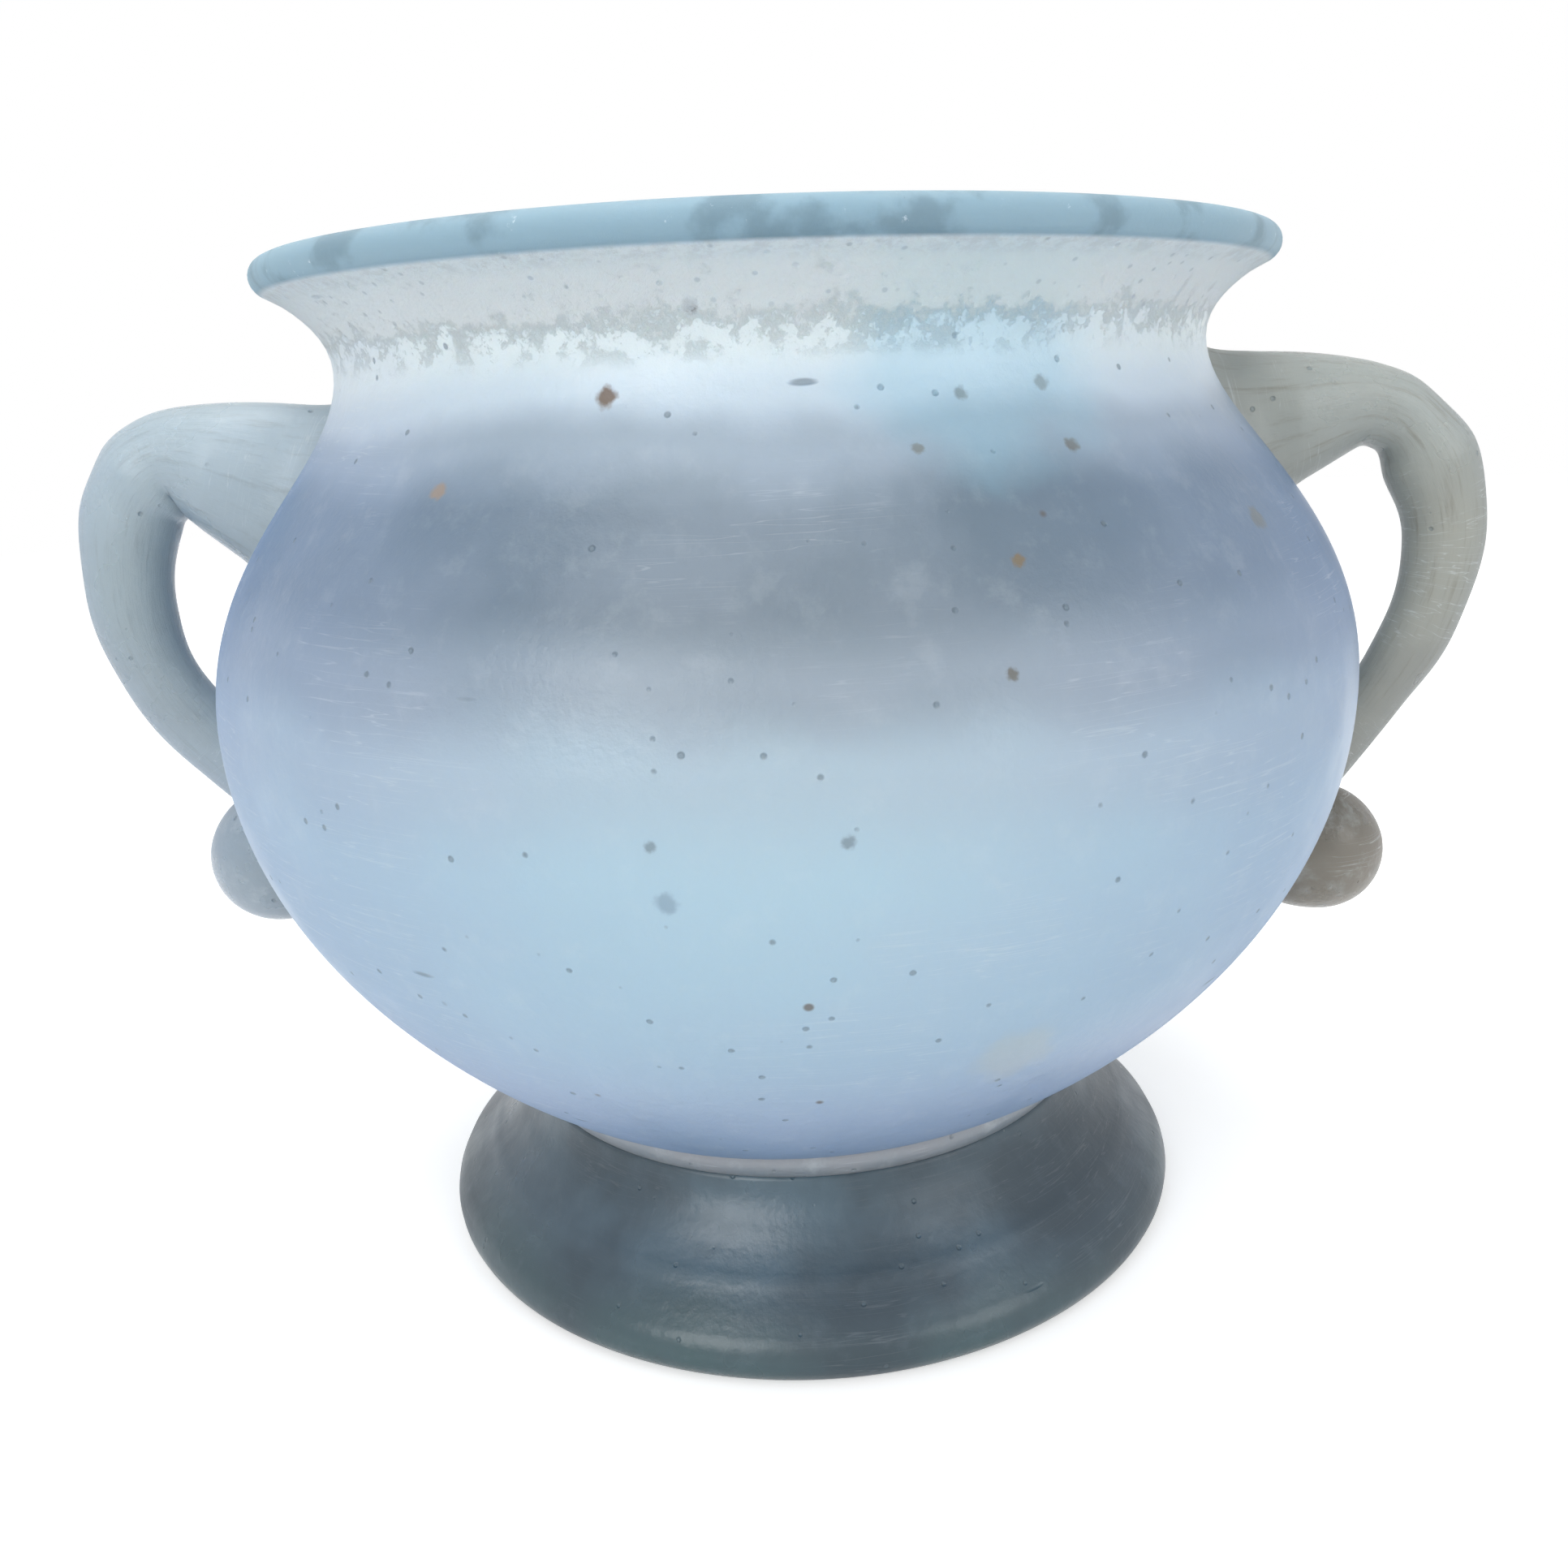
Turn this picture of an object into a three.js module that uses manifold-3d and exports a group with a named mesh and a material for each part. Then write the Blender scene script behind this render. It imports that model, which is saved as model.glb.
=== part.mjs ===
// Glass vase: a blown bowl with a flared mouth on an applied foot, with two drawn handles.
// Each handle springs from the neck, bends down and ends on the lower wall above a glass bead.
// Millimetres, +Z up. The origin is the centre of the resting plane, and the handles reach to -X and +X.
import * as THREE from 'three';
import { mergeVertices } from 'three/addons/utils/BufferGeometryUtils.js';
import Module from 'manifold-3d';

const wasm = await Module();
wasm.setup();

// Clearance between pieces that the glassmaker fused while hot, and facets around every turned piece.
const JOINT_GAP = 0.3;
const FACETS_AROUND = 60;
const MERGE_DISTANCE = 1e-3;

// Outlines are drawn through stations by cubic curves. Heading is the way the outline runs there,
// in degrees above level, and before and after are the reach of the curve on either side.
// Wall is the thickness of the glass at the station.
const BOWL_OUTLINE = [
  { radius: 0, height: 21.0, heading: 0, before: 0, after: 25.0, wall: 9.0 },
  { radius: 62.5, height: 36.1, heading: 34.5, before: 15.0, after: 21.0, wall: 5.5 },
  { radius: 106.6, height: 110.4, heading: 90, before: 36.9, after: 31.5, wall: 4.2 },
  { radius: 78.9, height: 170.1, heading: 90, before: 15.3, after: 5.5, wall: 4.6 },
  { radius: 89.0, height: 182.4, heading: 32, before: 6.0, after: 0, wall: 5.1 },
];
const OUTER_STEPS = [6, 9, 9, 6];
const INNER_STEPS = [3, 5, 5, 4];
const LIP_STEPS = 6;

// The mouth leans a little, higher to -X, from the neck upwards.
const MOUTH_LEAN = 0.0155;
const LEAN_FROM = 150;
const LEAN_FULL = 185;

// The foot is a flared ring, hollow underneath, with a flat resting ring.
const FOOT_WAIST_HEIGHT = 29.5;
const FOOT_OUTLINE = [
  { radius: 72.5, height: 0, heading: 0, before: 0, after: 2.6 },
  { radius: 77.0, height: 4.2, heading: 90, before: 2.4, after: 6.0 },
  { radius: 57.8, height: FOOT_WAIST_HEIGHT, heading: 100, before: 12.0, after: 0 },
];
const FOOT_HOLLOW = [
  { radius: 0, height: 12.5, heading: 0, before: 0, after: 24.0 },
  { radius: 61.0, height: 0, heading: -72, before: 13.0, after: 0 },
];
const FOOT_STEPS = [3, 7];
const HOLLOW_STEPS = [6];

// The collar is the ring of glass that joins the bowl to the foot.
const COLLAR_INNER_RADIUS = 47;
const COLLAR_RADIUS = 57.6;
const COLLAR_BULGE = 2.0;
const COLLAR_TOP = 36;
const COLLAR_STEPS = 4;

// Handles: reach from the axis, height and half thickness of the rod at stations along its middle.
const ROD_SIDES = 14;
const ROD_STEPS = 32;
const ROD_DEPTH_RATIO = 0.86;
const ROD_MOST_DEPTH = 10.5;
const LEFT_HANDLE = {
  name: 'left', side: -1, turn: 2,
  rod: [
    [71.2, 143, 18.2], [88.9, 148.4, 17.8], [114, 156.2, 9.6], [119.9, 152.4, 9.6], [124.2, 145.3, 8.9],
    [126.7, 129.3, 8], [123.3, 114.1, 7.2], [112.7, 98.1, 6.6], [101.2, 85.3, 5.4],
  ],
  bead: { reach: 106.1, height: 77.2, radius: 13.9, stretch: 1.0 },
};
const RIGHT_HANDLE = {
  name: 'right', side: 1, turn: -3,
  rod: [
    [70, 150.7, 15.5], [90.4, 152.8, 13.8], [111.1, 155.4, 7.8], [118, 152.6, 7.1], [123.8, 144.9, 8.3],
    [127.8, 131.2, 7.5], [125.2, 114.6, 6.6], [117.8, 100.5, 5.7], [102.6, 79.5, 5.4],
  ],
  bead: { reach: 107.6, height: 67.9, radius: 12.9, stretch: 1.35 },
};
const BEAD_AROUND = 20;
const BEAD_RINGS = 12;

const GLASS = {
  bowl: { color: 0xaebfcb, roughness: 0.62 },
  foot: { color: 0x55656e, roughness: 0.5 },
  collar: { color: 0x87939a, roughness: 0.55 },
  leftHandle: { color: 0xa6b0b3, roughness: 0.6 },
  rightHandle: { color: 0xa3a49e, roughness: 0.6 },
  leftBead: { color: 0x9fa8ac, roughness: 0.6 },
  rightBead: { color: 0x8e8a84, roughness: 0.6 },
};

// A point on the cubic span between two stations, with the outline's left-hand normal there.
function spanPoint(start, end, t) {
  const headingOf = (station) => THREE.MathUtils.degToRad(station.heading);
  const from = new THREE.Vector2(start.radius, start.height);
  const to = new THREE.Vector2(end.radius, end.height);
  const leave = new THREE.Vector2(start.after, 0).rotateAround(new THREE.Vector2(), headingOf(start));
  const arrive = new THREE.Vector2(end.before, 0).rotateAround(new THREE.Vector2(), headingOf(end));
  const curve = new THREE.CubicBezierCurve(from, from.clone().add(leave), to.clone().sub(arrive), to);
  const along = curve.getTangent(t);
  return { at: curve.getPoint(t), normal: new THREE.Vector2(-along.y, along.x) };
}

// The whole outline, moved along its left-hand normal by what shift says at each place.
function drawOutline(stations, steps, shift) {
  const points = [];
  for (let span = 0; span < steps.length; span++) {
    const first = span === 0 ? 0 : 1;
    for (let step = first; step <= steps[span]; step++) {
      const t = step / steps[span];
      const { at, normal } = spanPoint(stations[span], stations[span + 1], t);
      points.push(at.addScaledVector(normal, shift(span, t)));
    }
  }
  return points;
}

// A closed geometry becomes a solid once equal corners are one and flat triangles are gone.
function toSolid(geometry) {
  const bare = new THREE.BufferGeometry();
  bare.setAttribute('position', geometry.getAttribute('position').clone());
  bare.setIndex(geometry.getIndex());
  const merged = mergeVertices(bare, MERGE_DISTANCE);
  const corners = merged.getIndex().array;
  const triangles = [];
  for (let i = 0; i < corners.length; i += 3) {
    const [a, b, c] = corners.slice(i, i + 3);
    if (a !== b && b !== c && c !== a) triangles.push(a, b, c);
  }
  const vertProperties = new Float32Array(merged.getAttribute('position').array);
  const triVerts = new Uint32Array(triangles);
  return new wasm.Manifold(new wasm.Mesh({ numProp: 3, vertProperties, triVerts }));
}

function toGeometry(solid) {
  const mesh = solid.getMesh();
  const geometry = new THREE.BufferGeometry();
  geometry.setAttribute('position', new THREE.BufferAttribute(new Float32Array(mesh.vertProperties), 3));
  geometry.setIndex(new THREE.BufferAttribute(new Uint32Array(mesh.triVerts), 1));
  geometry.computeVertexNormals();
  return geometry;
}

// Turns a profile of radius and height about +Z.
function turn(profile) {
  const geometry = new THREE.LatheGeometry(profile, FACETS_AROUND);
  geometry.rotateX(Math.PI / 2);
  return geometry;
}

// Leans the mouth: each point above the neck moves up or down with its distance along X.
function leanMouth(geometry) {
  const position = geometry.getAttribute('position');
  for (let i = 0; i < position.count; i++) {
    const share = THREE.MathUtils.smoothstep(position.getZ(i), LEAN_FROM, LEAN_FULL);
    position.setZ(i, position.getZ(i) - position.getX(i) * MOUTH_LEAN * share);
  }
  return geometry;
}

// The glass wall lies on the left of the outline, so the inner surface is the outline moved by the wall.
function wallAt(span, t) {
  return THREE.MathUtils.lerp(BOWL_OUTLINE[span].wall, BOWL_OUTLINE[span + 1].wall, t);
}

function makeBowl() {
  const outer = drawOutline(BOWL_OUTLINE, OUTER_STEPS, () => 0);
  const inner = drawOutline(BOWL_OUTLINE, INNER_STEPS, wallAt).reverse();
  const lipOuter = outer[outer.length - 1];
  const lipCentre = lipOuter.clone().add(inner[0]).multiplyScalar(0.5);
  const lip = [];
  for (let step = 1; step < LIP_STEPS; step++) {
    lip.push(lipOuter.clone().rotateAround(lipCentre, Math.PI * step / LIP_STEPS));
  }
  return toSolid(leanMouth(turn([...outer, ...lip, ...inner])));
}

// Everything within the bowl's outer surface and a joint's gap around it.
function makeBowlEnvelope() {
  const skin = drawOutline(BOWL_OUTLINE, OUTER_STEPS, () => -JOINT_GAP);
  const top = new THREE.Vector2(0, skin[skin.length - 1].y);
  return toSolid(leanMouth(turn([...skin, top])));
}

function makeFoot(bowlEnvelope) {
  const roofToRing = drawOutline(FOOT_HOLLOW, HOLLOW_STEPS, () => 0);
  const ringToWaist = drawOutline(FOOT_OUTLINE, FOOT_STEPS, () => 0);
  const seat = new THREE.Vector2(0, FOOT_WAIST_HEIGHT);
  return toSolid(turn([...roofToRing, ...ringToWaist, seat])).subtract(bowlEnvelope);
}

function makeCollar(bowlEnvelope) {
  const low = FOOT_WAIST_HEIGHT + JOINT_GAP;
  const profile = [new THREE.Vector2(COLLAR_INNER_RADIUS, low)];
  for (let step = 0; step <= COLLAR_STEPS; step++) {
    const share = step / COLLAR_STEPS;
    const radius = COLLAR_RADIUS + COLLAR_BULGE * Math.sin(Math.PI * share);
    profile.push(new THREE.Vector2(radius, THREE.MathUtils.lerp(low, COLLAR_TOP, share)));
  }
  profile.push(new THREE.Vector2(COLLAR_INNER_RADIUS, COLLAR_TOP), profile[0].clone());
  return toSolid(turn(profile)).subtract(bowlEnvelope);
}

// The bead is a blob of glass, drawn out towards the wall that it is pressed on.
function makeBead({ side, turn: turned, bead }, grow) {
  const geometry = new THREE.SphereGeometry(bead.radius + grow, BEAD_AROUND, BEAD_RINGS);
  const position = geometry.getAttribute('position');
  for (let i = 0; i < position.count; i++) {
    const x = position.getX(i);
    position.setX(i, x * side < 0 ? x * bead.stretch : x);
  }
  geometry.translate(side * bead.reach, 0, bead.height);
  geometry.rotateZ(THREE.MathUtils.degToRad(turned));
  return toSolid(geometry);
}

// A rod: the rings of a cylinder are carried along the handle's middle line, each with its own size.
function makeHandle({ side, turn: turned, rod }, bowlEnvelope, beadEnvelope) {
  const middle = new THREE.CatmullRomCurve3(rod.map(([reach, height, half]) => (
    new THREE.Vector3(reach, height, half))));
  const geometry = new THREE.CylinderGeometry(1, 1, 1, ROD_SIDES, ROD_STEPS);
  const position = geometry.getAttribute('position');
  for (let i = 0; i < position.count; i++) {
    const t = THREE.MathUtils.clamp(position.getY(i) + 0.5, 0, 1);
    const centre = middle.getPoint(t);
    const along = middle.getTangent(t);
    const across = new THREE.Vector2(-along.y, along.x).normalize();
    const half = centre.z * position.getX(i);
    const deep = Math.min(centre.z * ROD_DEPTH_RATIO, ROD_MOST_DEPTH) * position.getZ(i);
    const reach = centre.x + across.x * half;
    position.setXYZ(i, side * reach, side * deep, centre.y + across.y * half);
  }
  geometry.rotateZ(THREE.MathUtils.degToRad(turned));
  return toSolid(geometry).subtract(bowlEnvelope).subtract(beadEnvelope);
}

function piece(name, solid, { color, roughness }) {
  const material = new THREE.MeshStandardMaterial({ color, roughness, metalness: 0 });
  const mesh = new THREE.Mesh(toGeometry(solid), material);
  mesh.name = name;
  return mesh;
}

const vase = new THREE.Group();
const bowlEnvelope = makeBowlEnvelope();
vase.add(piece('bowl', makeBowl(), GLASS.bowl));
vase.add(piece('foot', makeFoot(bowlEnvelope), GLASS.foot));
vase.add(piece('foot_collar', makeCollar(bowlEnvelope), GLASS.collar));
for (const handle of [LEFT_HANDLE, RIGHT_HANDLE]) {
  const rod = makeHandle(handle, bowlEnvelope, makeBead(handle, JOINT_GAP));
  const bead = makeBead(handle, 0).subtract(bowlEnvelope);
  vase.add(piece(`${handle.name}_handle`, rod, GLASS[`${handle.name}Handle`]));
  vase.add(piece(`${handle.name}_bead`, bead, GLASS[`${handle.name}Bead`]));
}

export default vase;
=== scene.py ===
"""A footed, two-handled glass vase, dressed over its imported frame.

The bowl, foot, collar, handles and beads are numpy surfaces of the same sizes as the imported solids,
finished as frosted, long-buried glass, on a white floor under soft light.
"""
import logging
from dataclasses import dataclass, replace
from enum import Enum
from typing import Any

import bpy
import numpy as np
from mathutils import Matrix


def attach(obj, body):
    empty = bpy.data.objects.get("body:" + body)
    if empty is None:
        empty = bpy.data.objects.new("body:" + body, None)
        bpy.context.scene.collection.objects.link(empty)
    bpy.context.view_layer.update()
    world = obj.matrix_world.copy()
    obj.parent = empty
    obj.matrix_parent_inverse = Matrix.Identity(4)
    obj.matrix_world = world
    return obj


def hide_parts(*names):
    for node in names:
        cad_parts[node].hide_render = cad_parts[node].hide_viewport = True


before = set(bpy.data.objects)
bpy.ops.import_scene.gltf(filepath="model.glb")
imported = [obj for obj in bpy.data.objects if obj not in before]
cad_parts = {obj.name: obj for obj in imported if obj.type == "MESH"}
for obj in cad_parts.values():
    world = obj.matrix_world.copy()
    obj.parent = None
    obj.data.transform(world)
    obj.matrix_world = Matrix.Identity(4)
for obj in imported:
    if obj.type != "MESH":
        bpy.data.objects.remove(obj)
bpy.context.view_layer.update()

LOG = logging.getLogger("vase")

MM = 0.001
BODY = "root"
SKIN = "skin"
WHITE = (1.0, 1.0, 1.0, 1.0)

# The mouth leans from the neck upwards, higher to -X, by this share of the distance along X.
MOUTH_LEAN = 0.0155
LEAN_FROM, LEAN_FULL = 150.0, 185.0

Pair = tuple[float, float]
Triple = tuple[float, float, float]
Array = np.ndarray
Socket = bpy.types.NodeSocket
Tree = bpy.types.NodeTree


class Ends(Enum):
    """How the rows of a grid surface close: on a point at each end, or on themselves."""

    POLES = "poles"
    LOOP = "loop"


def smoothstep(value: Array, low: float, high: float) -> Array:
    """Rise from 0 at low to 1 at high along 3s² minus 2s³, s being the share of the way."""
    share = np.clip((value - low) / (high - low), 0, 1)
    return share * share * (3 - 2 * share)


def distance_out(points: Array) -> Array:
    """Give each point's distance from the Z axis."""
    return np.hypot(points[..., 0], points[..., 1])


@dataclass(frozen=True)
class Station:
    """A point of a turned outline, with its heading and the pull of the curves beside it, in mm."""

    radius: float
    height: float
    heading: float
    before: float
    after: float
    wall: float = 0.0

    def point(self) -> Array:
        """Give the point as radius and height."""
        return np.array([self.radius, self.height])

    def direction(self) -> Array:
        """Give the unit vector along the heading."""
        angle = np.radians(self.heading)
        return np.array([np.cos(angle), np.sin(angle)])


def span(start: Station, end: Station, steps: int) -> tuple[Array, Array, Array]:
    """Follow the cubic Bézier curve from one station to the next.

    Its inner control points lie along each station's heading, as far off as its pull says. The point is
    (1−t)³a + 3(1−t)²t·b + 3(1−t)t²·c + t³d and the tangent is its derivative.

    Args:
        start: the station that the curve leaves.
        end: the station that it reaches.
        steps: how many steps it takes.

    Returns:
        The points, the unit tangents and the wall's thickness at each.
    """
    share = np.linspace(0, 1, steps + 1)[:, None]
    rest = 1 - share
    first, last = start.point(), end.point()
    second = first + start.direction() * start.after
    third = last - end.direction() * end.before
    points = rest**3 * first + 3 * rest**2 * share * second + 3 * rest * share**2 * third + share**3 * last
    tangents = (rest**2 * (second - first) + 2 * rest * share * (third - second)
                + share**2 * (last - third))
    tangents /= np.linalg.norm(tangents, axis=1)[:, None]
    return points, tangents, start.wall + (end.wall - start.wall) * share


def outline(stations: tuple[Station, ...], steps: int) -> list[Array]:
    """Join the spans' points, tangents and walls, with each shared station once."""
    parts = [span(start, end, steps) for start, end in zip(stations[:-1], stations[1:])]
    return [np.vstack([part[which][:-1] for part in parts] + [parts[-1][which][-1:]]) for which in range(3)]


def spaced(points: Array, step: float) -> Array:
    """Respace a line so that its points lie about one step apart along its length.

    Args:
        points: the line's points, one a row.
        step: the distance wanted, in the points' unit.

    Returns:
        The respaced points, with both ends kept.
    """
    lengths = np.concatenate([[0], np.cumsum(np.linalg.norm(np.diff(points, axis=0), axis=1))])
    wanted = np.linspace(0, lengths[-1], int(round(lengths[-1] / step)) + 1)
    return np.stack([np.interp(wanted, lengths, points[:, axis]) for axis in range(points.shape[1])], axis=1)


def turned(profile: Array, around: int) -> Array:
    """Carry a profile round the Z axis: x = r·cos a, y = r·sin a, z = height, with the seam at the back.

    Args:
        profile: radius and height of each row, in mm.
        around: how many columns.

    Returns:
        Points in mm, rows by columns by 3.
    """
    angle = np.pi / 2 + np.arange(around) * 2 * np.pi / around
    radius = profile[:, :1]
    height = np.broadcast_to(profile[:, 1:], (len(profile), around))
    return np.stack([radius * np.cos(angle), radius * np.sin(angle), height], axis=2)


@dataclass
class Surface:
    """A closed surface as a grid of points in metres, whose columns wrap round.

    On poles the first and last rows are one point each. On a loop the last row joins the first.
    """

    points: Array
    ends: Ends

    def vertices(self) -> Array:
        """Give the vertices, one a row, in the order that number() counts them."""
        parts = [self.points[:1].mean(axis=1), self.points[1:-1].reshape(-1, 3),
                 self.points[-1:].mean(axis=1)]
        return self.points.reshape(-1, 3) if self.ends is Ends.LOOP else np.vstack(parts)

    def number(self, row: Array, column: Array) -> Array:
        """Number the vertex at a row and column, which may run one past the end and wrap.

        Args:
            row: the grid rows.
            column: the grid columns, with a half at a pole.

        Returns:
            The vertex numbers.
        """
        rows, columns = self.points.shape[:2]
        wrapped = column.astype(int) % columns
        if self.ends is Ends.LOOP:
            return row % rows * columns + wrapped
        inner = 1 + (row - 1) * columns + np.where(row == rows - 1, 0, wrapped)
        return np.where(row == 0, 0, inner)

    def faces(self) -> list[tuple[Array, Array]]:
        """Give the faces, as their corners' grid rows and columns: the quads, then a fan at each pole.

        Returns:
            Pairs of row and column arrays, one face a line.
        """
        rows, columns = self.points.shape[:2]
        here = np.arange(columns)
        row = np.arange(rows) if self.ends is Ends.LOOP else np.arange(1, rows - 2)
        down, across = (part.reshape(-1, 1) for part in np.meshgrid(row, here, indexing="ij"))
        blocks = [(down + [0, 0, 1, 1], across + [0, 1, 1, 0])]
        if self.ends is Ends.POLES:
            side = here[:, None]
            level = np.zeros_like(side)
            blocks.append((level + [0, 1, 1], side + [0.5, 1, 0]))
            blocks.append((level + [rows - 1, rows - 2, rows - 2], side + [0.5, 0, 1]))
        return blocks

    def skin(self, row: Array, column: Array) -> Array:
        """Map corners in metres: u is the column times the mean of the columns' widest steps.

        v is the mean length along the rows, and a loop's closing strip stays where the last row is.

        Args:
            row: the corners' rows.
            column: the corners' columns.

        Returns:
            The pairs of u and v.
        """
        steps = np.linalg.norm(np.diff(self.points, axis=0), axis=2).mean(axis=1)
        along = np.concatenate([[0], np.cumsum(steps), [steps.sum()]])
        width = np.linalg.norm(self.points - np.roll(self.points, -1, axis=1), axis=2).max(axis=0).mean()
        return np.stack([column * width, along[row]], axis=-1).reshape(-1, 2)

    def mesh(self, name: str) -> bpy.types.Mesh:
        """Write the surface into a smooth mesh whose faces point outwards.

        The volume is the sum of a·(b×c)/6 over each face's fan of triangles. Where it comes out negative,
        every face is turned over.

        Args:
            name: the mesh's name.

        Returns:
            The mesh, with its skin map.
        """
        vertices, blocks = self.vertices(), self.faces()
        volume = 0.0
        for row, column in blocks:
            corners = vertices[self.number(row, column)]
            for step in range(1, corners.shape[1] - 1):
                normal = np.cross(corners[:, step], corners[:, step + 1])
                volume += np.einsum("ij,ij->", corners[:, 0], normal) / 6
        if volume < 0:
            blocks = [(row[:, ::-1], column[:, ::-1]) for row, column in blocks]
        loops = np.concatenate([self.number(row, column).reshape(-1) for row, column in blocks])
        sizes = np.concatenate([np.full(len(row), row.shape[1]) for row, _ in blocks])
        skin = np.vstack([self.skin(row, column) for row, column in blocks])
        mesh = bpy.data.meshes.new(name)
        mesh.vertices.add(len(vertices))
        mesh.vertices.foreach_set("co", vertices.astype(np.float32).ravel())
        mesh.loops.add(len(loops))
        mesh.loops.foreach_set("vertex_index", loops.astype(np.int32))
        mesh.polygons.add(len(sizes))
        mesh.polygons.foreach_set("loop_start", (np.cumsum(sizes) - sizes).astype(np.int32))
        mesh.update(calc_edges=True)
        mesh.validate()
        mesh.polygons.foreach_set("use_smooth", np.ones(len(mesh.polygons), dtype=bool))
        mesh.uv_layers.new(name=SKIN).data.foreach_set("uv", skin.astype(np.float32).ravel())
        LOG.info("%s: %d faces, %.1f cm3", name, len(sizes), abs(volume) * 1e6)
        return mesh


def make_piece(name: str, points: Array, ends: Ends, node: str,
               material: bpy.types.Material) -> None:
    """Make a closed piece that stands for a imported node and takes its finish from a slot.

    Args:
        name: the piece's name.
        points: the grid of points in mm.
        ends: how the grid's rows close.
        node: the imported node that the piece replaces.
        material: the piece's material.
    """
    piece = bpy.data.objects.new(name, Surface(points * MM, ends).mesh(name))
    bpy.context.scene.collection.objects.link(piece)
    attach(piece, BODY)
    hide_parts(node)
    piece.data.materials.append(material)


def srgb(code: str) -> tuple[float, ...]:
    """Turn six sRGB hex digits into Blender's linear red, green and blue, with an alpha of 1."""
    parts = [int(code[place:place + 2], 16) / 255 for place in (0, 2, 4)]
    return (*(part / 12.92 if part <= 0.04045 else ((part + 0.055) / 1.055) ** 2.4 for part in parts), 1.0)


def per_mm(size: float) -> float:
    """Give the texture scale at which a feature is so many mm across."""
    return 1 / (size * MM)


@dataclass(frozen=True)
class NodeKind:
    """A kind of shader node: its type, main output, the inputs that plain values fill, and a setting."""

    type: str
    output: int | str = 0
    inputs: tuple[int, ...] = (0, 1, 2, 3, 4)
    setting: tuple[str, str] | None = None


class Kind(Enum):
    """The kinds of node that the materials are made of."""

    PLACE = NodeKind("TexCoord", "Object")
    SKIN_MAP = NodeKind("UVMap", setting=("uv_map", SKIN))
    AXES = NodeKind("SeparateXYZ", "Z")
    RED = NodeKind("SeparateColor")
    MAPPING = NodeKind("Mapping")
    AWAY = NodeKind("VectorMath", "Value", setting=("operation", "DISTANCE"))
    ADD = NodeKind("Math", setting=("operation", "ADD"))
    SUBTRACT = NodeKind("Math", setting=("operation", "SUBTRACT"))
    MULTIPLY = NodeKind("Math", setting=("operation", "MULTIPLY"))
    MULTIPLY_ADD = NodeKind("Math", setting=("operation", "MULTIPLY_ADD"))
    MAXIMUM = NodeKind("Math", setting=("operation", "MAXIMUM"))
    ABSOLUTE = NodeKind("Math", setting=("operation", "ABSOLUTE"))
    SPREAD = NodeKind("MapRange")
    STEP = NodeKind("MapRange", setting=("interpolation_type", "SMOOTHSTEP"))
    NOISE = NodeKind("TexNoise", "Fac")
    CELLS = NodeKind("TexVoronoi", "Distance")
    RAMP = NodeKind("ValToRGB")
    BLEND = NodeKind("Mix", 2, (0, 6, 7), ("data_type", "RGBA"))
    SLANT = NodeKind("LayerWeight", "Facing")
    BUMP = NodeKind("Bump")
    GLASS = NodeKind("BsdfPrincipled")
    ABSORPTION = NodeKind("VolumeAbsorption")
    MATERIAL = NodeKind("OutputMaterial", "")
    RAYS = NodeKind("LightPath", "Is Camera Ray")
    SKY = NodeKind("Background")
    WORLD = NodeKind("OutputWorld", "")
    PAINT = NodeKind("BsdfDiffuse")
    GLOW = NodeKind("Emission")
    BOTH = NodeKind("AddShader")
    EITHER = NodeKind("MixShader")


def add(tree: Tree, kind: Kind, *values: Any, **named: Any) -> Socket | None:
    """Add a node with its setting, and set or link its inputs.

    Args:
        tree: the node tree.
        kind: the kind of node.
        values: numbers, colours or sockets for the kind's inputs, in order.
        named: the same by the inputs' names.

    Returns:
        The node's main output, or nothing for an output node.
    """
    made = kind.value
    node = tree.nodes.new(f"ShaderNode{made.type}")
    if made.setting:
        setattr(node, *made.setting)
    for socket, value in [*zip(made.inputs, values), *named.items()]:
        if isinstance(value, Socket):
            tree.links.new(value, node.inputs[socket])
        else:
            node.inputs[socket].default_value = value
    return node.outputs[made.output] if made.output != "" else None


def lay(tree: Tree, colour: Any, mask: Socket, amount: float, tone: str) -> Socket:
    """Lay a tone over a colour where a mask from 0 to 1 says, up to an amount."""
    share = add(tree, Kind.MULTIPLY, mask, amount)
    return add(tree, Kind.BLEND, share, colour, srgb(tone))


def rising(tree: Tree, height: Socket, low: float, high: float) -> Socket:
    """Give a smooth step in a height, between two heights in mm."""
    return add(tree, Kind.STEP, height, low * MM, high * MM)


@dataclass(frozen=True)
class Spots:
    """Marks of one tone, one in each cell that the draw keeps, with spacing and radius in mm."""

    spacing: float
    radius: float
    kept: float
    tone: str
    amount: float
    soft_edge: Pair = (1.3, 0.6)

    def mask(self, tree: Tree, place: Socket) -> Socket:
        """Give 1 inside the marks and 0 outside.

        Args:
            tree: the node tree.
            place: the coordinates that the cells follow, in metres.

        Returns:
            The mask.
        """
        distance = add(tree, Kind.CELLS, Vector=place, Scale=per_mm(self.spacing))
        draw = add(tree, Kind.RED, distance.node.outputs["Color"])
        outer, inner = (self.radius / self.spacing * share for share in self.soft_edge)
        spot = add(tree, Kind.STEP, distance, outer, inner)
        drawn = add(tree, Kind.STEP, draw, self.kept + 0.01, self.kept)
        return add(tree, Kind.MULTIPLY, spot, drawn)


PITS = Spots(3.6, 0.45, 0.22, "677A85", 0.4)
NICKS = Spots(7.0, 0.5, 0.4, "62757F", 0.25)
SPECKS = Spots(17.0, 0.75, 0.3, "5B4936", 0.8)


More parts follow.
